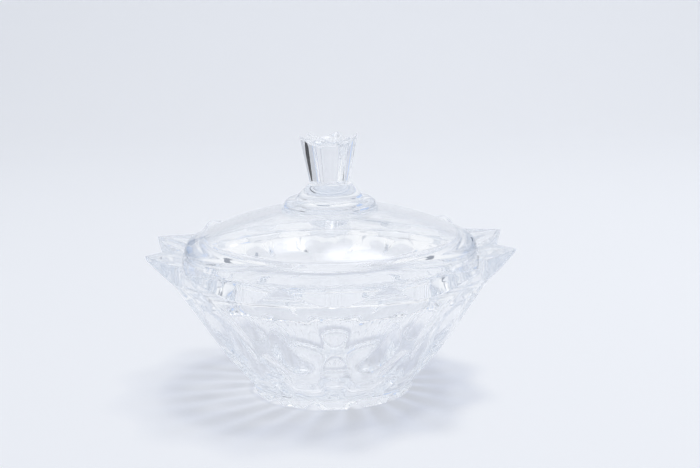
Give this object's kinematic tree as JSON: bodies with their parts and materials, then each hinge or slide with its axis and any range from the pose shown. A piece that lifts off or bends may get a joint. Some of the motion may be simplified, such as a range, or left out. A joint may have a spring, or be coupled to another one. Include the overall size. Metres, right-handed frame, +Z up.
{
  "type": "covered candy bowl",
  "caption": "Clear pressed-crystal candy bowl with a star-pointed rim and hollowed windows round its wall, and a lift-off domed lid with a fluted knob.",
  "frame": {"origin": "middle of the face that the foot stands on", "axes": "+Z up along the axis of the bowl and lid; a notch of the rim faces -Y"},
  "size_m": [0.1986, 0.1986, 0.1425],
  "materials": {
    "crystal": "polished"
  },
  "bodies": {
    "bowl": {"bowl": "crystal"},
    "lid": {"lid": "crystal", "knob": "crystal"}
  },
  "joints": [
    {"name": "lid_lift", "type": "slide", "parent": "bowl", "child": "lid", "axis": [0, 0, 1], "range_m": [0, 0.12]}
  ]
}
